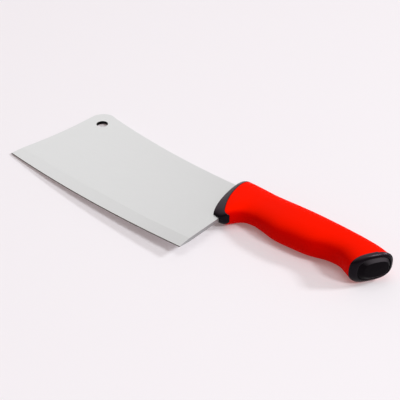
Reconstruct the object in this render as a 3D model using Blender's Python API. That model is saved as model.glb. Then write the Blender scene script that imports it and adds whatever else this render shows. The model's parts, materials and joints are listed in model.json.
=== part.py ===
"""Meat cleaver with a two-colour moulded handle, lying on its side as it rests on a table.

The pieces are modelled in the cleaver's own plane first: X = 0 is the heel of the blade, Y = 0 is
the lowest point of its hollow back, and Z = 0 is its middle plane.  +X runs along the handle to the
butt and +Y from the cutting edge to the back.  One empty then lays the whole cleaver down, so that
the front of the blade and the underside of the handle touch the plane Z = 0.
"""

import math

import bmesh
import bpy
import numpy as np
from mathutils import Vector

# Blade, in metres
EDGE_LENGTH = 0.190  # straight from toe to heel
EDGE_BELLY = 0.0039  # how far the cutting edge bows out
BLADE_HEIGHT = 0.0857  # edge line to the lowest point of the hollow back
SPINE_DIP_X = -0.040  # where the hollow back is lowest
SPINE_RADIUS = 0.746
FRONT_LEAN = 0.0082  # how far the front leans back
FRONT_LEAN_HEIGHT = 0.075  # above the edge line, where the lean ends
CORNER_RADIUS = 0.012  # top corner of the front
PLATE_THICKNESS = 0.0030
GRIND_WIDTH = 0.0110
EDGE_THICKNESS = 0.0004
HANG_HOLE_RADIUS = 0.0051
HANG_HOLE_SETBACK = 0.0240  # hole's centre from the toe
HANG_HOLE_DROP = 0.0042  # hole's centre below the hollow back's lowest point

# Tang, inside the handle
TANG_SETBACK = 0.0168  # the tang stops this far short of the handle's last section
TANG_LOW = -0.0217
TANG_HIGH = -0.0017
TANG_LOW_RISE = 0.0070  # from the heel to the tang's end
TANG_HIGH_DROP = 0.0010
SHOULDER_X = 0.0050  # where the plate's back steps down to the tang
LOCK_HOLE_RADIUS = 0.0035
LOCK_HOLE_FIRST = 0.0260  # from the heel
LOCK_HOLE_LAST = 0.0160  # from the tang's end
LOCK_HOLES = 3

# Handle form: each section's share of the length, its back, belly, half thickness and lean
HANDLE_LENGTH = 0.1148  # from the heel to the last section
HANDLE_STATIONS = [
    (-0.1742, 0.0076, -0.0422, 0.0088, 0.00),
    (-0.0871, 0.0087, -0.0422, 0.0090, 0.00),
    (-0.0174, 0.0088, -0.0417, 0.0091, 0.00),
    (0.0174, 0.0086, -0.0387, 0.0091, 0.00),
    (0.0523, 0.0082, -0.0337, 0.0090, 0.00),
    (0.0871, 0.0078, -0.0302, 0.0090, 0.00),
    (0.1568, 0.0070, -0.0269, 0.0092, 0.00),
    (0.2439, 0.0067, -0.0274, 0.0100, 0.00),
    (0.3484, 0.0067, -0.0293, 0.0110, 0.00),
    (0.4791, 0.0067, -0.0284, 0.0116, 0.00),
    (0.6098, 0.0065, -0.0267, 0.0115, 0.00),
    (0.7404, 0.0057, -0.0223, 0.0112, 0.14),
    (0.8537, 0.0043, -0.0217, 0.0114, 0.34),
    (0.9408, 0.0025, -0.0249, 0.0119, 0.50),
    (1.0000, 0.0001, -0.0277, 0.0122, 0.60),
]
SECTION_ROUNDNESS = 2.7  # exponent of the section's superellipse: 2 is an ellipse

# Collar: its front, and the line where the soft grip begins
COLLAR_FRONT_X = -0.0123
COLLAR_FRONT_HEIGHT = -0.0017  # height where the front lies furthest forward
COLLAR_FRONT_RADIUS = 0.105
COLLAR_BACK_X = -0.0103
COLLAR_BACK_HEIGHT = 0.0043
COLLAR_BACK_RADIUS = 0.080
LOBE_X = 0.0012
LOBE_HEIGHT = -0.0407
LOBE_RADIUS = 0.0054

# Butt
CAP_AHEAD = 0.0001  # where the grip ends, beyond the handle's last section
CAP_LEAN = 0.62
CAP_HEIGHT = -0.0157  # where CAP_AHEAD is measured
RIM_RADIUS = 0.0040  # rounding of the butt's rim
RIM_FLAT = 0.0006  # flat left between the rounding and the plug
PLUG_DEPTH = 0.0040
PLUG_DOME = 0.0008  # how far the plug's middle stands proud
PLUG_DOME_WIDTH = 0.0080  # width of the dome's slope
PLUG_DOME_STEPS = (0.3, 0.6, 0.85)

# Fits
CLEARANCE = 0.0003
SKIN = 0.0026  # wall of the soft grip

# Fineness and spare length of the cutting shapes
SECTION_POINTS = 32
STATION_STEP = 0.0056
ARC_STEPS = 16
SPARE = 0.02

STEEL_DENSITY = 7750.0
PLASTIC_DENSITY = 1150.0


def clear_scene():
    for thing in list(bpy.data.objects):
        bpy.data.objects.remove(thing, do_unlink=True)


def material(name, colour, roughness, metallic=0.0):
    made = bpy.data.materials.new(name)
    made.use_nodes = True
    shader = made.node_tree.nodes["Principled BSDF"]
    shader.inputs["Base Color"].default_value = (*colour, 1.0)
    shader.inputs["Roughness"].default_value = roughness
    shader.inputs["Metallic"].default_value = metallic
    made.diffuse_color = (*colour, 1.0)
    return made


def add_object(name, bm, finish=None):
    """Turn a bmesh into an object; without a finish it is a cutting shape."""
    bmesh.ops.recalc_face_normals(bm, faces=bm.faces)
    mesh = bpy.data.meshes.new(name)
    bm.to_mesh(mesh)
    bm.free()
    made = bpy.data.objects.new(name, mesh)
    bpy.context.scene.collection.objects.link(made)
    if finish is None:
        made.hide_render = True
        made.display_type = "WIRE"
    else:
        mesh.materials.append(finish)
        mesh.shade_smooth()
        mesh.set_sharp_from_angle(angle=math.radians(32))
    return made


def combine(body, tool, operation, solver="EXACT"):
    step = body.modifiers.new(f"{operation.lower()} {tool.name}", "BOOLEAN")
    step.object = tool
    step.operation = operation
    step.solver = solver


def prism(outline, half_depth):
    """Closed body with the given outline in X and Y, reaching half_depth to both sides of Z = 0."""
    bm = bmesh.new()
    floor = bm.faces.new([bm.verts.new((x, y, -half_depth)) for x, y in outline])
    raised = bmesh.ops.extrude_face_region(bm, geom=[floor])
    corners = [item for item in raised["geom"] if isinstance(item, bmesh.types.BMVert)]
    bmesh.ops.translate(bm, verts=corners, vec=(0, 0, 2 * half_depth))
    return bm


def cylinder(bm, centre, radius, half_depth, sides=32):
    made = bmesh.ops.create_cone(
        bm, cap_ends=True, segments=sides, radius1=radius, radius2=radius, depth=2 * half_depth
    )
    bmesh.ops.translate(bm, verts=made["verts"], vec=(centre[0], centre[1], 0))


def arc(centre, radius, start, end, steps=ARC_STEPS):
    """Points on an arc, from one angle to another in degrees."""
    angles = np.radians(np.linspace(start, end, steps + 1))
    return [(centre[0] + radius * math.cos(a), centre[1] + radius * math.sin(a)) for a in angles]


# ---------------------------------------------------------------- blade


def spine_height(x):
    """Height of the hollow back: a wide arc."""
    return SPINE_RADIUS - math.sqrt(SPINE_RADIUS**2 - (x - SPINE_DIP_X) ** 2)


def front_x(y):
    """The front leans back along a parabola, then goes on upright."""
    rest = min(y + BLADE_HEIGHT, FRONT_LEAN_HEIGHT) / FRONT_LEAN_HEIGHT - 1
    return -EDGE_LENGTH + FRONT_LEAN * (1 - rest**2)


def edge_height(x):
    """The cutting edge bows out below the line from toe to heel."""
    middle = 2 * x / EDGE_LENGTH + 1
    return -BLADE_HEIGHT - EDGE_BELLY * (1 - middle**2)


def corner_outline():
    """Rounded top corner of the front, from the front to the back."""
    top_x = front_x(0) + CORNER_RADIUS
    slope = math.degrees(math.asin((top_x - SPINE_DIP_X) / SPINE_RADIUS))
    centre = (top_x, spine_height(top_x) - CORNER_RADIUS * math.cos(math.radians(slope)))
    return arc(centre, CORNER_RADIUS, 180, 90 + slope)


def tang_length():
    return HANDLE_LENGTH - TANG_SETBACK


def tang_outline(grow):
    """Heel, tang and shoulder, from the heel up and round to the back, grown by a clearance."""
    end = tang_length() + grow
    return [
        (grow, TANG_LOW - grow),
        (end, TANG_LOW + TANG_LOW_RISE - grow),
        (end, TANG_HIGH - TANG_HIGH_DROP + grow),
        (SHOULDER_X + grow, TANG_HIGH + grow),
        (SHOULDER_X + grow, spine_height(SHOULDER_X) + grow),
    ]


def lock_hole_centres():
    """Holes along the middle of the tang, which the handle's plastic fills."""
    pitch = (tang_length() - LOCK_HOLE_LAST - LOCK_HOLE_FIRST) / (LOCK_HOLES - 1)
    for i in range(LOCK_HOLES):
        x = LOCK_HOLE_FIRST + i * pitch
        rise = (TANG_LOW_RISE - TANG_HIGH_DROP) / 2 * x / tang_length()
        yield x, (TANG_LOW + TANG_HIGH) / 2 + rise


def blade_body():
    """Flat plate whose lower strip is ground down to the cutting edge on both sides."""
    steps = 2 * ARC_STEPS
    grind_height = GRIND_WIDTH - BLADE_HEIGHT
    grind_front = front_x(grind_height)
    edge = [-EDGE_LENGTH * (1 - i / steps) for i in range(steps + 1)]
    grind = [grind_front * (1 - i / steps) for i in range(steps + 1)]
    spine_start = corner_outline()[-1][0]
    spine = [SHOULDER_X + (spine_start - SHOULDER_X) * i / steps for i in range(1, steps)]
    front_rise = corner_outline()[0][1] - grind_height
    front = [grind_height + front_rise * i / ARC_STEPS for i in range(1, ARC_STEPS)]
    plate = [(x, GRIND_WIDTH + edge_height(x)) for x in grind]
    plate += tang_outline(0)
    plate += [(x, spine_height(x)) for x in spine]
    plate += reversed(corner_outline())
    plate += [(front_x(y), y) for y in reversed(front)]

    bm = bmesh.new()
    sides = []
    for side in (-1, 1):
        flat = [bm.verts.new((x, y, side * PLATE_THICKNESS / 2)) for x, y in plate]
        sharp = [bm.verts.new((x, edge_height(x), side * EDGE_THICKNESS / 2)) for x in edge]
        bm.faces.new(flat)
        for i in range(steps):
            bm.faces.new((sharp[i], sharp[i + 1], flat[i + 1], flat[i]))
        sides.append(sharp + flat[steps:] + [flat[0]])
    below, above = sides
    for i in range(len(below)):
        j = (i + 1) % len(below)
        bm.faces.new((below[i], below[j], above[j], above[i]))
    # The free flat sides are faces of their own, apart from what the handle covers.
    whole = bm.verts[:] + bm.edges[:] + bm.faces[:]
    bmesh.ops.bisect_plane(bm, geom=whole, dist=1e-6, plane_co=(front_reach(), 0, 0), plane_no=(1, 0, 0))
    return bm


def make_blade(finish):
    blade = add_object("blade", blade_body(), finish)
    bm = bmesh.new()
    hang_centre = (HANG_HOLE_SETBACK - EDGE_LENGTH, -HANG_HOLE_DROP)
    cylinder(bm, hang_centre, HANG_HOLE_RADIUS, SPARE, sides=48)
    for centre in lock_hole_centres():
        cylinder(bm, centre, LOCK_HOLE_RADIUS, SPARE)
    combine(blade, add_object("blade_holes", bm), "DIFFERENCE")
    return blade


# ---------------------------------------------------------------- handle form


def section(x):
    """Back, belly, half thickness and lean at x, on a smooth curve through the stations."""
    table = np.array(HANDLE_STATIONS)
    places = table[:, 0] * HANDLE_LENGTH
    slopes = np.gradient(table[:, 1:], places, axis=0)
    i = int(np.clip(np.searchsorted(places, x) - 1, 0, len(places) - 2))
    width = places[i + 1] - places[i]
    t = (x - places[i]) / width
    start, end = table[i, 1:], table[i + 1, 1:]
    rise = start * (2 * t**3 - 3 * t**2 + 1) + end * (3 * t**2 - 2 * t**3)
    turn = slopes[i] * (t**3 - 2 * t**2 + t) + slopes[i + 1] * (t**3 - t**2)
    return rise + turn * width


def ring(x, inset=0.0, ahead=0.0):
    """One section of the handle, drawn in by inset and moved ahead along X."""
    back, belly, half, lean = section(x)
    middle = (back + belly) / 2
    height = (back - belly) / 2 - inset
    points = []
    for i in range(SECTION_POINTS):
        angle = 2 * math.pi * (i + 0.5) / SECTION_POINTS
        across = math.copysign(abs(math.cos(angle)) ** (2 / SECTION_ROUNDNESS), math.cos(angle))
        up = math.copysign(abs(math.sin(angle)) ** (2 / SECTION_ROUNDNESS), math.sin(angle))
        y = middle + height * across
        points.append((x + ahead + lean * (y - middle), y, (half - inset) * up))
    return points


def loft(rings):
    """Closed body through a row of rings with the same number of points."""
    bm = bmesh.new()
    rows = [[bm.verts.new(point) for point in points] for points in rings]
    for row, following in zip(rows, rows[1:]):
        for i in range(len(row)):
            j = (i + 1) % len(row)
            bm.faces.new((row[i], row[j], following[j], following[i]))
    bm.faces.new(rows[0])
    bm.faces.new(rows[-1])
    return bm


def front_reach():
    """Where the handle form starts, ahead of the collar."""
    return HANDLE_STATIONS[0][0] * HANDLE_LENGTH


def station_places():
    first, last = front_reach(), HANDLE_LENGTH
    count = math.ceil((last - first) / STATION_STEP)
    return [first + (last - first) * i / count for i in range(count + 1)]


def outer_form():
    """The handle's whole outside, with a rounded rim round the butt."""
    rings = [ring(x) for x in station_places()]
    for turn in (22.5, 45, 67.5, 90):
        angle = math.radians(turn)
        inset, ahead = RIM_RADIUS * (1 - math.cos(angle)), RIM_RADIUS * math.sin(angle)
        rings.append(ring(HANDLE_LENGTH, inset, ahead))
    return loft(rings)


def inner_form(depth):
    """The space under the grip's skin, which runs on into the collar and the butt."""
    rings = [ring(x, depth) for x in station_places()]
    rings.append(ring(HANDLE_LENGTH, depth + RIM_RADIUS / 2, RIM_RADIUS))
    return loft(rings)


def arc_line(front, height, radius):
    """Arc across the handle that lies furthest forward, at front, at the given height."""
    return arc((front + radius, height), radius, 165, 218)


def front_trim():
    """Everything ahead of the collar."""
    outline = arc_line(COLLAR_FRONT_X, COLLAR_FRONT_HEIGHT, COLLAR_FRONT_RADIUS)
    far = front_reach() - SPARE
    outline += [(far, outline[-1][1]), (far, outline[0][1])]
    return prism(outline, SPARE)


def sleeve_zone(name, shrink):
    """Stretch of the handle that the soft grip covers, less a gap at both ends."""
    outline = arc_line(COLLAR_BACK_X + shrink, COLLAR_BACK_HEIGHT, COLLAR_BACK_RADIUS)
    top, bottom = outline[0][1], outline[-1][1]
    end = HANDLE_LENGTH + CAP_AHEAD - shrink
    outline.append((end + CAP_LEAN * (bottom - CAP_HEIGHT), bottom))
    outline.append((end + CAP_LEAN * (top - CAP_HEIGHT), top))
    zone = add_object(name, prism(outline, SPARE))
    bm = bmesh.new()
    cylinder(bm, (LOBE_X, LOBE_HEIGHT), LOBE_RADIUS + shrink, 2 * SPARE)
    combine(zone, add_object(f"{name}_lobe", bm), "DIFFERENCE")
    return zone


# ---------------------------------------------------------------- handle pieces


def make_grip(finish):
    """Soft sleeve over the core, from the collar to the butt."""
    grip = add_object("grip", outer_form(), finish)
    combine(grip, sleeve_zone("grip_zone", CLEARANCE), "INTERSECT")
    combine(grip, add_object("grip_cavity", inner_form(SKIN)), "DIFFERENCE")
    return grip


def make_core(finish):
    """Hard moulding: collar, stem under the grip, and butt, filling the tang's holes."""
    core = add_object("handle_core", outer_form(), finish)
    pocket = add_object("plug_pocket", plug_form(0, CLEARANCE, RIM_RADIUS))
    sleeve = sleeve_zone("sleeve_space", 0)
    combine(sleeve, add_object("stem", inner_form(SKIN + CLEARANCE)), "DIFFERENCE")
    # The slot and the curved front meet in slivers that the exact solver loses.
    for tool in (make_tang_slot(), add_object("front_trim", front_trim()), pocket, sleeve):
        combine(core, tool, "DIFFERENCE", "MANIFOLD")
    return core


def make_tang_slot():
    """Room for the heel of the plate and the tang, with the plastic left standing in the holes."""
    low = HANDLE_STATIONS[0][2] - SPARE
    far = front_reach() - SPARE
    steps = ARC_STEPS
    back = [SHOULDER_X + CLEARANCE + (far - SHOULDER_X) * i / steps for i in range(1, steps + 1)]
    outline = [(far, low), (CLEARANCE, low)]
    outline += tang_outline(CLEARANCE)
    outline += [(x, spine_height(x) + CLEARANCE) for x in back]
    slot = add_object("tang_slot", prism(outline, PLATE_THICKNESS / 2 + CLEARANCE))
    bm = bmesh.new()
    for centre in lock_hole_centres():
        cylinder(bm, centre, LOCK_HOLE_RADIUS - CLEARANCE, SPARE)
    combine(slot, add_object("lock_pins", bm), "DIFFERENCE")
    return slot


def plug_form(dome, gap, rise):
    """Oval plug standing in the butt; with a gap it is the pocket that the plug sits in."""
    inset = RIM_RADIUS + RIM_FLAT - gap
    foot = RIM_RADIUS - PLUG_DEPTH - gap
    rings = [ring(HANDLE_LENGTH, inset, foot), ring(HANDLE_LENGTH, inset, RIM_RADIUS + rise)]
    for step in PLUG_DOME_STEPS if dome else ():
        rings.append(ring(HANDLE_LENGTH, inset + PLUG_DOME_WIDTH * step, RIM_RADIUS + dome * step))
    return loft(rings)


def make_plug(finish):
    return add_object("butt_plug", plug_form(PLUG_DOME, 0, 0), finish)


# ---------------------------------------------------------------- lying down


def final_shape(piece):
    """Corners of the finished mesh, its volume and its centroid."""
    final = piece.evaluated_get(bpy.context.evaluated_depsgraph_get())
    mesh = final.to_mesh()
    mesh.calc_loop_triangles()
    corners = np.array([vertex.co[:] for vertex in mesh.vertices])
    triangles = corners[np.array([triangle.vertices[:] for triangle in mesh.loop_triangles])]
    final.to_mesh_clear()
    a, b, c = triangles[:, 0], triangles[:, 1], triangles[:, 2]
    volumes = (a * np.cross(b, c)).sum(1) / 6
    centroid = (volumes[:, None] * (a + b + c)).sum(0) / 4 / volumes.sum()
    return corners, volumes.sum(), centroid


def table_slopes(corners, balance):
    """Slopes of the plane that supports every corner and is highest under the balance point."""
    best = np.zeros(2)
    reach = 0.05

    def level(slopes):
        return (corners[:, 2] - (corners[:, :2] - balance[:2]) @ slopes).min()

    compass = [np.array((math.cos(turn), math.sin(turn))) for turn in np.radians(range(0, 360, 10))]
    while reach > 1e-6:
        leader = max((best + reach * way for way in compass), key=level)
        if level(leader) > level(best):
            best = leader
        else:
            reach /= 2
    return best


def lay_down(pieces, densities):
    """Hang everything on one empty and turn that until the cleaver rests on Z = 0."""
    rest_pose = bpy.data.objects.new("rest_pose", None)
    for shape in list(bpy.context.scene.objects):
        shape.parent = rest_pose
    bpy.context.scene.collection.objects.link(rest_pose)
    shapes = [final_shape(piece) for piece in pieces]
    masses = [shape[1] * density for shape, density in zip(shapes, densities)]
    balance = sum(mass * shape[2] for shape, mass in zip(shapes, masses)) / sum(masses)
    corners = np.concatenate([shape[0] for shape in shapes])
    slopes = table_slopes(corners, balance)
    upright = Vector((-slopes[0], -slopes[1], 1)).rotation_difference(Vector((0, 0, 1)))
    rest_pose.rotation_mode = "QUATERNION"
    rest_pose.rotation_quaternion = upright
    turned = corners @ np.array(upright.to_matrix()).T
    low, high = turned.min(0), turned.max(0)
    rest_pose.location = (-(low[0] + high[0]) / 2, -(low[1] + high[1]) / 2, -low[2])


def main():
    clear_scene()
    steel = material("satin_steel", (0.62, 0.63, 0.62), 0.38, 1.0)
    black = material("black_hard_plastic", (0.014, 0.012, 0.015), 0.35)
    red = material("red_soft_plastic", (0.82, 0.010, 0.002), 0.55)
    plug = material("black_plug_plastic", (0.010, 0.009, 0.011), 0.28)
    pieces = [make_blade(steel), make_core(black), make_grip(red), make_plug(plug)]
    lay_down(pieces, [STEEL_DENSITY] + 3 * [PLASTIC_DENSITY])


main()
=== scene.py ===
import json
import math

import bmesh
import bpy
import numpy as np
from mathutils import Matrix, Vector


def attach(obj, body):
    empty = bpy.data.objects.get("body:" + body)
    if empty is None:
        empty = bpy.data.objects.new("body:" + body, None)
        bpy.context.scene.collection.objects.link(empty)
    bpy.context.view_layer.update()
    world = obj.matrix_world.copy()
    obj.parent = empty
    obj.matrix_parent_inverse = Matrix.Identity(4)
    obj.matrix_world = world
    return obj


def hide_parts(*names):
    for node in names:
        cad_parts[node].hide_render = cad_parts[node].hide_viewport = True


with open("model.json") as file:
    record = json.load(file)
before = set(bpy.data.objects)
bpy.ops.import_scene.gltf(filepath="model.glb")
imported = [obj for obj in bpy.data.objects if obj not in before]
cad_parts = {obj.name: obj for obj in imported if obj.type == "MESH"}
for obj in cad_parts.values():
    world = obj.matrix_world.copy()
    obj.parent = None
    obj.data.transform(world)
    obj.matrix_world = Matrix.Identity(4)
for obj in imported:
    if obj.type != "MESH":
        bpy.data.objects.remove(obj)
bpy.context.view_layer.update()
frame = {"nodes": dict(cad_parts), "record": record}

mm = 0.001
print("frame loaded:", sorted(frame["nodes"]))

# The handle and the blade are worked out in the cleaver's own plane, in mm: the heel is the origin, +X runs
# to the butt, +Y to the back and +Z out of the blade's upper side. The mount on that side places the plane.
sideMount = {"name": "blade_side_up", "along": -70, "height": 34, "side": 1.5}


def findPlane():
    mount = next(m for m in frame["record"]["mounts"] if m["name"] == sideMount["name"])
    turn = Vector((0, 0, 1)).rotation_difference(Vector(mount["axis"])).to_matrix().to_4x4()
    onBlade = Vector((sideMount["along"], sideMount["height"], sideMount["side"])) * mm
    return Matrix.Translation(Vector(mount["pos_m"]) - turn @ onBlade) @ turn


planeToFrame = findPlane()
frameToPlane = planeToFrame.inverted()
print("cleaver's plane found from", sideMount["name"])


def addNode(tree, kind, **settings):  # each setting is an input's value if the node has one so named
    node = tree.nodes.new(kind)
    for title, value in settings.items():
        if title in node.inputs:
            node.inputs[title].default_value = value
        else:
            setattr(node, title, value)
    return node


def addGroup(tree, group, **settings):
    node = tree.nodes.new("ShaderNodeGroup")
    node.node_tree = group
    for title, value in settings.items():
        node.inputs[title].default_value = value
    return node


def feed(tree, value, socket):  # the value is another node's output, a colour or a plain number
    if isinstance(value, bpy.types.NodeSocket):
        tree.links.new(value, socket)
    elif isinstance(value, tuple):
        socket.default_value = (*value, 1)
    else:
        socket.default_value = value


def addMath(tree, operation, *values):
    node = addNode(tree, "ShaderNodeMath", operation=operation)
    for socket, value in zip(node.inputs, values):
        feed(tree, value, socket)
    return node.outputs[0]


def mixColours(tree, share, first, second):
    node = addNode(tree, "ShaderNodeMix", data_type="RGBA")
    for title, value in (("Factor", share), ("A", first), ("B", second)):
        feed(tree, value, node.inputs[title])
    return node.outputs["Result"]


def newGroup(name, inputs, outputs):
    group = bpy.data.node_groups.new(name, "ShaderNodeTree")
    for title, value in inputs.items():
        socket = group.interface.new_socket(name=title, in_out="INPUT", socket_type="NodeSocketFloat")
        socket.default_value = value
    for title in outputs:
        group.interface.new_socket(name=title, in_out="OUTPUT", socket_type="NodeSocketFloat")
    return group, group.nodes.new("NodeGroupInput"), group.nodes.new("NodeGroupOutput")


def makeMouldedSkin():  # the fine spark texture of a mould, and slow waves under it
    waveWeight = 2.0
    group, given, out = newGroup("mouldedSkin", {"Grain": 5200.0, "Waves": 60.0}, ["Height", "Tone"])
    coords = addNode(group, "ShaderNodeTexCoord")
    grain = addNode(group, "ShaderNodeTexNoise", Detail=3.0, Roughness=0.6)
    waves = addNode(group, "ShaderNodeTexNoise", Detail=2.0, Roughness=0.5)
    for texture, title in ((grain, "Grain"), (waves, "Waves")):
        group.links.new(coords.outputs["Object"], texture.inputs["Vector"])
        group.links.new(given.outputs[title], texture.inputs["Scale"])
    swell = addMath(group, "MULTIPLY", waves.outputs["Fac"], waveWeight)
    height = addMath(group, "ADD", grain.outputs["Fac"], swell)
    group.links.new(height, out.inputs["Height"])
    group.links.new(waves.outputs["Fac"], out.inputs["Tone"])
    return group


def makeHandlingMarks():  # faint smears, as a change to add to the roughness
    noiseMiddle = 0.5
    group, given, out = newGroup("handlingMarks", {"Scale": 22.0, "Amount": 0.1}, ["Change"])
    coords = addNode(group, "ShaderNodeTexCoord")
    smear = addNode(group, "ShaderNodeTexNoise", Detail=4.0, Roughness=0.62, Distortion=0.9)
    group.links.new(coords.outputs["Object"], smear.inputs["Vector"])
    group.links.new(given.outputs["Scale"], smear.inputs["Scale"])
    around = addMath(group, "SUBTRACT", smear.outputs["Fac"], noiseMiddle)
    change = addMath(group, "MULTIPLY", around, given.outputs["Amount"])
    group.links.new(change, out.inputs["Change"])
    return group


def makeFacingUp():  # how far a surface looks up, which sets the share of painted top light on the plastics
    group, given, out = newGroup("facingUp", {"From": 0.45, "To": 0.95}, ["Share"])
    shape = addNode(group, "ShaderNodeNewGeometry")
    split = addNode(group, "ShaderNodeSeparateXYZ")
    group.links.new(shape.outputs["Normal"], split.inputs["Vector"])
    share = addNode(group, "ShaderNodeMapRange", interpolation_type="SMOOTHSTEP")
    group.links.new(split.outputs["Z"], share.inputs["Value"])
    group.links.new(given.outputs["From"], share.inputs["From Min"])
    group.links.new(given.outputs["To"], share.inputs["From Max"])
    group.links.new(share.outputs["Result"], out.inputs["Share"])
    return group


mouldedSkin = makeMouldedSkin()
handlingMarks = makeHandlingMarks()
facingUp = makeFacingUp()
print("shared effects ready:", mouldedSkin.name, handlingMarks.name, facingUp.name)


def newMaterial(name, colour, metallic=0.0):
    material = bpy.data.materials.new(name)
    material.use_nodes = True
    shader = material.node_tree.nodes["Principled BSDF"]
    shader.inputs["Metallic"].default_value = metallic
    shader.inputs["Base Color"].default_value = (*colour, 1)
    return material, material.node_tree, shader


def wireShader(tree, shader, look, colour, roughness, height):
    bump = addNode(tree, "ShaderNodeBump", Strength=look["bump"], Distance=look["bumpDepth"] * mm)
    tree.links.new(height, bump.inputs["Height"])
    tree.links.new(colour, shader.inputs["Base Color"])
    tree.links.new(roughness, shader.inputs["Roughness"])
    tree.links.new(bump.outputs["Normal"], shader.inputs["Normal"])


def plastic(name, look):
    material, tree, shader = newMaterial(name, look["colour"])
    skin = addGroup(tree, mouldedSkin, Grain=look["grain"], Waves=look["waves"])
    marks = addGroup(tree, handlingMarks, Scale=look["smears"], Amount=look["smearAmount"])
    upward = addGroup(tree, facingUp, From=look["paintedTopLightFrom"])
    tint = mixColours(tree, skin.outputs["Tone"], look["colour"], look["worn"])
    # faces that look up are painted lighter: painted top light
    paintedTopLit = mixColours(tree, upward.outputs["Share"], tint, look["paintedTopLight"])
    rough = addMath(tree, "ADD", marks.outputs["Change"], look["roughness"])
    wireShader(tree, shader, look, paintedTopLit, rough, skin.outputs["Height"])
    shader.inputs["Specular IOR Level"].default_value = look["specular"]
    shader.inputs["Specular Tint"].default_value = (*look["sheen"], 1)
    return material


# The handle's form, in mm and in the cleaver's plane
handleForm = {
    # distance from the heel, height of the back, height of the belly, half thickness, lean of the section
    "stations": [
        (-20.0, 93.3, 46.0, 8.8, 0.00),
        (-10.0, 94.4, 44.8, 9.0, 0.00),
        (-5.0, 94.5, 44.3, 9.1, 0.00),
        (-0.5, 94.4, 43.9, 9.1, 0.00),
        (3.0, 94.2, 45.6, 9.1, 0.00),
        (6.5, 93.9, 51.0, 9.0, 0.00),
        (10.0, 93.5, 55.5, 9.0, 0.00),
        (18.0, 92.7, 58.8, 9.2, 0.00),
        (28.0, 92.4, 58.3, 10.0, 0.00),
        (40.0, 92.4, 56.4, 11.0, 0.00),
        (55.0, 92.4, 57.3, 11.6, 0.00),
        (70.0, 92.2, 59.0, 11.5, 0.00),
        (85.0, 91.4, 63.4, 11.2, 0.14),
        (98.0, 90.0, 64.0, 11.4, 0.34),
        (108.0, 88.2, 60.8, 11.9, 0.50),
        (114.8, 85.8, 58.0, 12.2, 0.60),
    ],
    "squareness": 2.7,  # of the sections: 2 is an oval, and more is squarer
    "frontX": -14.1, "frontHeight": 95.0, "frontRadius": 168.0,  # the collar's front, an arc
    "seamX": -10.3, "seamHeight": 90.0, "seamRadius": 80.0,  # where the grip begins, an arc
    "lobe": 4.8, "lobeInside": 2.6, "lobeOutside": 6.8,  # how far the seam steps back under the belly
    "lobeTop": 60.0, "lobeFade": 6.0,  # the height where that step starts, and how soon it is full
    "capX": 114.9, "capHeight": 70.0, "capLean": 0.62,  # where the grip ends, a leaning line
    "segments": 144,  # points round the handle
    "sampleStep": 0.25,  # how closely the stations are joined
    "searchBefore": 10.0, "searchBehind": 30.0, "halvings": 40,  # how a point on the skin is looked for
}


def joinStations():  # a smooth curve through each column of the stations
    rows = np.array(handleForm["stations"])
    places, values = rows[:, 0], rows[:, 1:]
    slopes = np.gradient(values, places, axis=0)
    samples = np.arange(places[0], places[-1], handleForm["sampleStep"])
    samples = np.append(samples, places[-1])
    i = np.clip(np.searchsorted(places, samples) - 1, 0, len(places) - 2)
    width = (places[i + 1] - places[i])[:, None]
    t = (samples - places[i])[:, None] / width
    level = values[i] * (2 * t**3 - 3 * t**2 + 1) + values[i + 1] * (3 * t**2 - 2 * t**3)
    turn = slopes[i] * (t**3 - 2 * t**2 + t) + slopes[i + 1] * (t**3 - t**2)
    return samples, (level + turn * width).T


sampleX, sampleColumns = joinStations()
print("handle form joined from", len(handleForm["stations"]), "stations")


# Each line below crosses the handle: it gives its distance from the heel at height y and depth z.
def arcLine(front, height, radius):
    return lambda y, z: front + radius - np.sqrt(radius**2 - (y - height) ** 2)


frontLine = arcLine(handleForm["frontX"], handleForm["frontHeight"], handleForm["frontRadius"])
seamArc = arcLine(handleForm["seamX"], handleForm["seamHeight"], handleForm["seamRadius"])


def seamLine(y, z):
    inside, outside = handleForm["lobeInside"], handleForm["lobeOutside"]
    near = np.clip((outside - np.abs(z)) / (outside - inside), 0, 1)
    onBelly = np.clip((handleForm["lobeTop"] - y) / handleForm["lobeFade"], 0, 1)
    return seamArc(y, z) + handleForm["lobe"] * near**2 * (3 - 2 * near) * onBelly


def capLine(y, z):
    return handleForm["capX"] + handleForm["capLean"] * (y - handleForm["capHeight"])


def endLine(y, z):  # the last section's own plane
    back, belly, _, lean = sampleColumns[:, -1]
    return sampleX[-1] + lean * (y - (back + belly) / 2)


def between(first, second, share):
    return lambda y, z: first(y, z) * (1 - share) + second(y, z) * share


def skinPoints(angles, line, inset, ahead, slim=0):
    # The skin's points at a distance from a line, towards the butt, drawn in by inset and thinner by slim.
    # Each is found by halving the stretch of handle that it can lie in.
    cosine, sine = np.cos(angles), np.sin(angles)
    power = 2 / handleForm["squareness"]
    low = np.full(len(angles), sampleX[0] - handleForm["searchBefore"])
    high = np.full(len(angles), sampleX[-1] + handleForm["searchBehind"])
    for _ in range(handleForm["halvings"]):
        station = (low + high) / 2
        back, belly, half, lean = [np.interp(station, sampleX, column) for column in sampleColumns]
        middle = (back + belly) / 2
        y = middle + ((back - belly) / 2 - inset) * np.sign(cosine) * np.abs(cosine) ** power
        z = (half - inset) * (1 - slim) * np.sign(sine) * np.abs(sine) ** power
        x = station + lean * (y - middle)
        tooFar = x > line(y, z) + ahead
        high = np.where(tooFar, station, high)
        low = np.where(tooFar, low, station)
    return np.stack([x, y, z], 1) * mm


def roundOver(line, radius, direction, steps=5):
    # Rings round a lip, from the cut face up to the skin. In direction 1 the body lies beyond the line.
    turns = [math.pi / 2 * i / steps for i in range(steps + 1)]
    return [(line, radius * (1 - math.sin(t)), direction * radius * (1 - math.cos(t))) for t in turns]


def moved(rings, distance):
    return [(line, inset, ahead + distance) for line, inset, ahead in rings]


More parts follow.
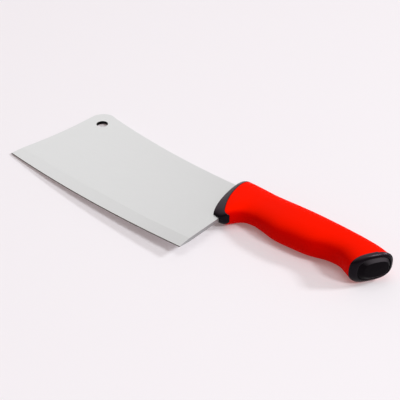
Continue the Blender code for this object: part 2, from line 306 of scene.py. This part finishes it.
def loftSkin(name, rings, tube=False):
    # A circle is extruded from ring to ring, and each ring is what skinPoints takes after the angles.
    # A tube's last ring is joined to its first, and otherwise both ends are closed.
    bm = bmesh.new()
    angleOf = bm.verts.layers.float.new("angle")
    bmesh.ops.create_circle(bm, segments=handleForm["segments"], radius=1)
    halfStep = math.pi / handleForm["segments"]
    for vert in bm.verts:
        vert[angleOf] = math.atan2(vert.co.y, vert.co.x) + halfStep
    verts, loop = bm.verts[:], bm.edges[:]
    firstLoop = loop
    for i, ring in enumerate(rings):
        if i:
            made = bmesh.ops.extrude_edge_only(bm, edges=loop)["geom"]
            verts = [item for item in made if isinstance(item, bmesh.types.BMVert)]
            fresh = set(verts)
            loop = [e for e in made if isinstance(e, bmesh.types.BMEdge) and set(e.verts) <= fresh]
        points = skinPoints(np.array([vert[angleOf] for vert in verts]), *ring)
        for vert, point in zip(verts, points):
            vert.co = point
    if tube:
        bmesh.ops.bridge_loops(bm, edges=firstLoop + loop)
    else:
        bmesh.ops.contextual_create(bm, geom=firstLoop)
        bmesh.ops.contextual_create(bm, geom=loop)
    return finishPiece(name, bm)


def finishPiece(name, bm, crispAngle=40, flatFrom=math.inf):
    # Edges over the angle, in degrees, are crisp, and faces from this area up are shaded flat.
    bmesh.ops.transform(bm, matrix=planeToFrame, verts=bm.verts)
    bmesh.ops.recalc_face_normals(bm, faces=bm.faces)
    mesh = bpy.data.meshes.new(name)
    bm.to_mesh(mesh)
    bm.free()
    if mesh.has_custom_normals:
        mesh.attributes.remove(mesh.attributes["custom_normal"])
    mesh.shade_smooth()
    mesh.set_sharp_from_angle(angle=math.radians(crispAngle))
    for face in mesh.polygons:
        face.use_smooth = face.area < flatFrom
    piece = bpy.data.objects.new(name, mesh)
    bpy.context.scene.collection.objects.link(piece)
    return piece


def fitPiece(piece, node, material):
    piece.data.materials.clear()
    piece.data.materials.append(material)
    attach(piece, "root")
    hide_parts(node)
    print("made", piece.name, len(piece.data.polygons), "faces")


# The red grip, a sleeve from the seam to the cap line
gripLook = {
    "colour": (0.65, 0.002, 0.0), "worn": (0.61, 0.001, 0.0), "sheen": (1.0, 0.10, 0.01),
    "roughness": 0.48, "specular": 0.015, "bump": 0.35, "bumpDepth": 0.04,
    # the colour of the painted top light on faces that look up, and the normal height where it starts
    "paintedTopLight": (0.94, 0.008, 0.0), "paintedTopLightFrom": 0.35,
    "grain": 5200.0, "waves": 60.0, "smears": 24.0, "smearAmount": 0.10,
    "wall": 2.3, "gap": 0.12, "lip": 0.45, "rings": 44, "innerRings": 12,
}


def makeGrip():
    gap, lip, wall = gripLook["gap"], gripLook["lip"], gripLook["wall"]
    count, innerCount = gripLook["rings"], gripLook["innerRings"]
    rings = [(seamLine, wall, gap)]
    rings += moved(roundOver(seamLine, lip, 1), gap)
    for i in range(1, count):
        share = i / count
        rings.append((between(seamLine, capLine, share), 0, (lip + gap) * (1 - 2 * share)))
    rings += moved(reversed(roundOver(capLine, lip, -1)), -gap)
    rings.append((capLine, wall, -gap))
    for i in range(1, innerCount):
        rings.append((between(capLine, seamLine, i / innerCount), wall, 0))
    return loftSkin("grip_skin", rings, tube=True)


fitPiece(makeGrip(), "grip", plastic("redSoftPlastic", gripLook))


# The black core: the collar, the stem in the grip, and the butt with its rim and cup
coreLook = {
    "colour": (0.003, 0.002, 0.003), "worn": (0.004, 0.002, 0.004), "sheen": (1.0, 0.85, 1.0),
    "roughness": 0.21, "specular": 0.10, "bump": 0.30, "bumpDepth": 0.04,
    # the colour of the painted top light on faces that look up, and the normal height where it starts
    "paintedTopLight": (0.048, 0.036, 0.044), "paintedTopLightFrom": 0.45,
    "grain": 5200.0, "waves": 80.0, "smears": 30.0, "smearAmount": 0.12,
    "mouthInset": 7.4, "mouthDepth": 4.0, "faceInsets": (6.0, 4.0, 2.0, 1.0), "frontEdge": 0.5,
    "chamfer": 0.17, "chamferFade": 1.4, "collarRings": 9,  # the collar is thinner at its front by a share
    "seamEdge": 0.3, "stemInset": 2.5, "stemRings": 12,
    "rim": 4.0, "rimShare": 0.80, "rimRings": 12,  # the rim is this share of a quarter round
    "grooveEdge": 0.2, "grooveDepth": 1.3, "cupInsets": (2.5, 5.0, 7.5),
}


def rimPoint(share):  # how far the butt's rim is drawn in and how high it stands, at a share of its round
    turn = math.pi / 2 * coreLook["rimShare"] * share
    return coreLook["rim"] * (1 - math.cos(turn)), coreLook["rim"] * math.sin(turn)


def makeCore():
    look = coreLook
    rings = [(frontLine, look["mouthInset"], look["mouthDepth"]), (frontLine, look["mouthInset"], 0)]
    rings += [(frontLine, inset, 0) for inset in look["faceInsets"]]
    rings += roundOver(frontLine, look["frontEdge"], 1)
    rings = [(*ring, look["chamfer"]) for ring in rings]
    for i in range(1, look["collarRings"]):
        share = i / look["collarRings"]
        slim = look["chamfer"] * (1 - share) ** look["chamferFade"]
        rings.append((between(frontLine, seamLine, share), 0, look["frontEdge"] * (1 - share), slim))
    rings += reversed(roundOver(seamLine, look["seamEdge"], -1))
    for i in range(look["stemRings"] + 1):
        rings.append((between(seamLine, capLine, i / look["stemRings"]), look["stemInset"], 0))
    rings += roundOver(capLine, look["seamEdge"], 1)
    rings += [(endLine, *rimPoint(i / look["rimRings"])) for i in range(look["rimRings"] + 1)]
    inset, top = rimPoint(1)
    cupFloor = top - look["grooveDepth"]
    rings.append((endLine, inset + look["grooveEdge"], top - look["grooveEdge"] / 2))
    rings.append((endLine, inset + look["grooveEdge"], cupFloor))
    rings += [(endLine, inset + further, cupFloor) for further in look["cupInsets"]]
    return loftSkin("collar_and_butt", rings)


fitPiece(makeCore(), "handle_core", plastic("blackHardPlastic", coreLook))


# The oval plug in the butt: a foot in the groove, a bevel up to the shoulder, and a slightly crowned face
plugLook = {
    "colour": (0.003, 0.002, 0.003), "worn": (0.004, 0.003, 0.004), "sheen": (1.0, 0.85, 1.0),
    "roughness": 0.30, "specular": 0.03, "bump": 0.15, "bumpDepth": 0.04,
    # the colour of the painted top light on faces that look up, and the normal height where it starts
    "paintedTopLight": (0.085, 0.075, 0.085), "paintedTopLightFrom": 0.34,
    "grain": 5200.0, "waves": 90.0, "smears": 40.0, "smearAmount": 0.10,
    "groove": 0.55, "foot": 1.0, "footInset": 1.0, "sunk": 0.3,
    "dome": 2.2, "shoulder": 0.28, "crown": 0.5, "rings": 30, "crowding": 1.5,  # the rings crowd to the rim
}


def makePlug():
    look = plugLook
    rimInset, face = rimPoint(1)
    inset = rimInset + look["groove"]
    foot = face - look["foot"]
    reach = sampleColumns[2, -1] - inset  # as far as the half thickness allows
    rings = [(endLine, inset + look["footInset"], foot), (endLine, inset, foot)]
    for i in range(look["rings"]):
        share = (i / look["rings"]) ** look["crowding"]
        rise = look["dome"] * min(1, share / look["shoulder"]) + look["crown"] * share
        rings.append((endLine, inset + reach * share, face - look["sunk"] + rise))
    return loftSkin("butt_plug_skin", rings)


fitPiece(makePlug(), "butt_plug", plastic("blackPlugPlastic", plugLook))


# The blade, a copy of the CAD plate with broken edges
bladeLook = {
    "colour": (0.765, 0.785, 0.79), "dull": (0.70, 0.72, 0.725),
    "roughness": 0.36, "bump": 0.10, "bumpDepth": 0.02,
    "grain": (60.0, 2600.0, 60.0), "grainAmount": 0.10,  # drawn out along the blade
    "smears": 14.0, "smearAmount": 0.12, "clouds": 9.0,
    "mergeWithin": 0.002, "flatWithin": 0.3,  # the copy is cleaned within these mm and degrees
    "edge": 0.2, "bevelFrom": 35,  # corners sharper than these degrees are broken
    "crispAngle": 30, "flatFrom": 5.0,  # shading: degrees, and square mm from which a face is flat
    "hole": (-166.0, 81.5), "holeReach": 5.25, "heelReach": 0.3, "squareOn": 0.9,
    "paintedWallShade": (0.012, 0.011, 0.012), "holeWall": 1.0, "heelEnd": 0.5,  # how strongly painted shade darkens each cut wall
    # a dark line of painted shade along the cutting edge, its colour and its width in mm
    "length": 190.0, "belly": 3.9, "paintedEdgeShade": (0.10, 0.085, 0.08), "paintedEdgeShadeWidth": 0.55,
}


def markCutWalls(bm):  # the hole's wall and the heel's end, which are painted dark as painted shade
    paintedWallShade = bm.faces.layers.float.new("paintedWallShade")
    axis = Vector(bladeLook["hole"]) * mm
    squareOn = bladeLook["squareOn"]
    for face in bm.faces:
        middle = face.calc_center_median().xy
        if (middle - axis).length < bladeLook["holeReach"] * mm and abs(face.normal.z) < squareOn:
            face[paintedWallShade] = bladeLook["holeWall"]
        elif abs(middle.x) < bladeLook["heelReach"] * mm and face.normal.x > squareOn:
            face[paintedWallShade] = bladeLook["heelEnd"]


def makeBlade():
    look = bladeLook
    flatWithin, bevelFrom = math.radians(look["flatWithin"]), math.radians(look["bevelFrom"])
    bm = bmesh.new()
    bm.from_mesh(frame["nodes"]["blade"].data)
    bmesh.ops.remove_doubles(bm, verts=bm.verts, dist=look["mergeWithin"] * mm)
    bmesh.ops.dissolve_limit(bm, angle_limit=flatWithin, verts=bm.verts, edges=bm.edges)
    sharp = [e for e in bm.edges if len(e.link_faces) == 2 and e.calc_face_angle() > bevelFrom]
    bmesh.ops.bevel(
        bm, geom=sharp, offset=look["edge"] * mm, offset_type="OFFSET", affect="EDGES",
        segments=2, profile=0.5, material=-1, clamp_overlap=True,
    )
    bmesh.ops.transform(bm, matrix=frameToPlane, verts=bm.verts)
    bm.normal_update()
    markCutWalls(bm)
    return finishPiece("blade_plate", bm, look["crispAngle"], look["flatFrom"] * mm * mm)


def makeEdgeBand():  # 1 within a width of the cutting edge, which bows out along a parabola: the mask of a painted shade line
    length, belly = bladeLook["length"] * mm, bladeLook["belly"] * mm
    shift, turn = frameToPlane.decompose()[:2]
    group, given, out = newGroup("edgeBand", {"Width": 0.0006}, ["Share"])
    coords = addNode(group, "ShaderNodeTexCoord")
    flat = addNode(group, "ShaderNodeMapping", Location=shift, Rotation=turn.to_euler())
    group.links.new(coords.outputs["Object"], flat.inputs["Vector"])
    split = addNode(group, "ShaderNodeSeparateXYZ")
    group.links.new(flat.outputs["Vector"], split.inputs["Vector"])
    along = addMath(group, "MULTIPLY_ADD", split.outputs["X"], 2 / length, 1)  # -1 in front, 1 at the heel
    bow = addMath(group, "MULTIPLY", addMath(group, "MULTIPLY", along, along), belly)
    above = addMath(group, "ADD", addMath(group, "SUBTRACT", split.outputs["Y"], bow), belly)
    group.links.new(addMath(group, "LESS_THAN", above, given.outputs["Width"]), out.inputs["Share"])
    return group


def satinSteel(look):
    material, tree, shader = newMaterial("satinSteel", look["colour"], metallic=1.0)
    coords = addNode(tree, "ShaderNodeTexCoord")
    drawn = addNode(tree, "ShaderNodeMapping", Scale=look["grain"])
    tree.links.new(coords.outputs["Object"], drawn.inputs["Vector"])
    noise = addNode(tree, "ShaderNodeTexNoise", Scale=1.0, Detail=5.0, Roughness=0.7)
    tree.links.new(drawn.outputs["Vector"], noise.inputs["Vector"])
    grain = noise.outputs["Fac"]
    marks = addGroup(tree, handlingMarks, Scale=look["smears"], Amount=look["smearAmount"])
    cutWall = addNode(tree, "ShaderNodeAttribute", attribute_name="paintedWallShade")
    edgeBand = addGroup(tree, makeEdgeBand(), Width=look["paintedEdgeShadeWidth"] * mm)

    cloud = addMath(tree, "MULTIPLY_ADD", marks.outputs["Change"], look["clouds"], grain)
    tint = mixColours(tree, cloud, look["dull"], look["colour"])
    # the hole's wall and the heel's end get painted shade
    walled = mixColours(tree, cutWall.outputs["Fac"], tint, look["paintedWallShade"])
    # a dark line along the cutting edge is painted shade
    paintedEdgeShade = mixColours(tree, edgeBand.outputs["Share"], walled, look["paintedEdgeShade"])

    streaks = addNode(tree, "ShaderNodeMapRange")
    streaks.inputs["To Min"].default_value = look["roughness"] - look["grainAmount"]
    streaks.inputs["To Max"].default_value = look["roughness"] + look["grainAmount"]
    tree.links.new(grain, streaks.inputs["Value"])
    rough = addMath(tree, "ADD", streaks.outputs["Result"], marks.outputs["Change"])
    wireShader(tree, shader, look, paintedEdgeShade, rough, grain)
    return material


fitPiece(makeBlade(), "blade", satinSteel(bladeLook))


# The studio: a pale floor, soft lights and a camera
studio = {
    "cameraSpot": (347.8, -372.1, 403.2),  # in the cleaver's plane, in mm
    "ahead": (-0.5149, 0.6137, -0.5985), "right": (0.7495, 0.6612, 0.0332),  # the way the camera is turned
    "lens": 81.0, "sensor": 36.0, "nearest": 0.01,
    "floorSize": 8.0, "floorColour": (0.735, 0.745, 0.785), "floorGlow": (0.135, 0.10, 0.095),
    "floorRoughness": 0.7, "floorSpecular": 0.2,
    "sky": (1.0, 0.92, 0.90), "skyStrength": 0.40,
}
lamps = {  # direction around and up in degrees, distance, width, power, and what it lights
    "key": (48, 34, 6.0, 0.85, 158, "all"),
    "side": (6, 42, 5.0, 0.9, 100, "all"),
    "overhead": (230, 84, 3.4, 2.0, 20, "diffuse"),
    "panel": (152, 29, 2.0, 1.9, 7.6, "glossy"),
}


def makeLamp(name, around, up, away, size, power, lights):
    light = bpy.data.lights.new(name, "AREA")
    light.shape = "SQUARE"
    light.size = size
    light.energy = power
    lamp = bpy.data.objects.new(name, light)
    turn, rise = math.radians(around), math.radians(up)
    aim = Vector((math.cos(turn) * math.cos(rise), math.sin(turn) * math.cos(rise), math.sin(rise)))
    lamp.location = aim * away
    lamp.rotation_mode = "QUATERNION"
    lamp.rotation_quaternion = aim.to_track_quat("Z", "Y")
    lamp.visible_diffuse = lights != "glossy"
    lamp.visible_glossy = lights != "diffuse"
    bpy.context.scene.collection.objects.link(lamp)


def makeFloor():
    bm = bmesh.new()
    bmesh.ops.create_grid(bm, x_segments=1, y_segments=1, size=studio["floorSize"] / 2)
    mesh = bpy.data.meshes.new("floor")
    bm.to_mesh(mesh)
    bm.free()
    floor = bpy.data.objects.new("floor", mesh)
    bpy.context.scene.collection.objects.link(floor)
    material, _, shader = newMaterial("paleFloor", studio["floorColour"])
    shader.inputs["Roughness"].default_value = studio["floorRoughness"]
    shader.inputs["Specular IOR Level"].default_value = studio["floorSpecular"]
    shader.inputs["Emission Color"].default_value = (*studio["floorGlow"], 1)
    shader.inputs["Emission Strength"].default_value = 1.0
    mesh.materials.append(material)


def makeSky():
    world = bpy.data.worlds.new("studio")
    world.use_nodes = True
    background = world.node_tree.nodes["Background"]
    background.inputs["Color"].default_value = (*studio["sky"], 1)
    background.inputs["Strength"].default_value = studio["skyStrength"]
    bpy.context.scene.world = world


def makeCamera():
    data = bpy.data.cameras.new("camera")
    data.lens = studio["lens"]
    data.sensor_width = studio["sensor"]
    data.clip_start = studio["nearest"]
    camera = bpy.data.objects.new("camera", data)
    bpy.context.scene.collection.objects.link(camera)
    spot = planeToFrame @ (Vector(studio["cameraSpot"]) * mm)
    ahead = Vector(studio["ahead"]).normalized()
    right = Vector(studio["right"]).normalized()
    axes = Matrix((right, right.cross(ahead), -ahead)).transposed()
    camera.matrix_world = Matrix.Translation(spot) @ axes.to_4x4()
    bpy.context.scene.camera = camera


makeFloor()
makeSky()
for lampName, settings in lamps.items():
    makeLamp(lampName, *settings)
makeCamera()
bpy.context.scene.view_settings.view_transform = "Standard"
print("studio ready:", len(lamps), "lamps")
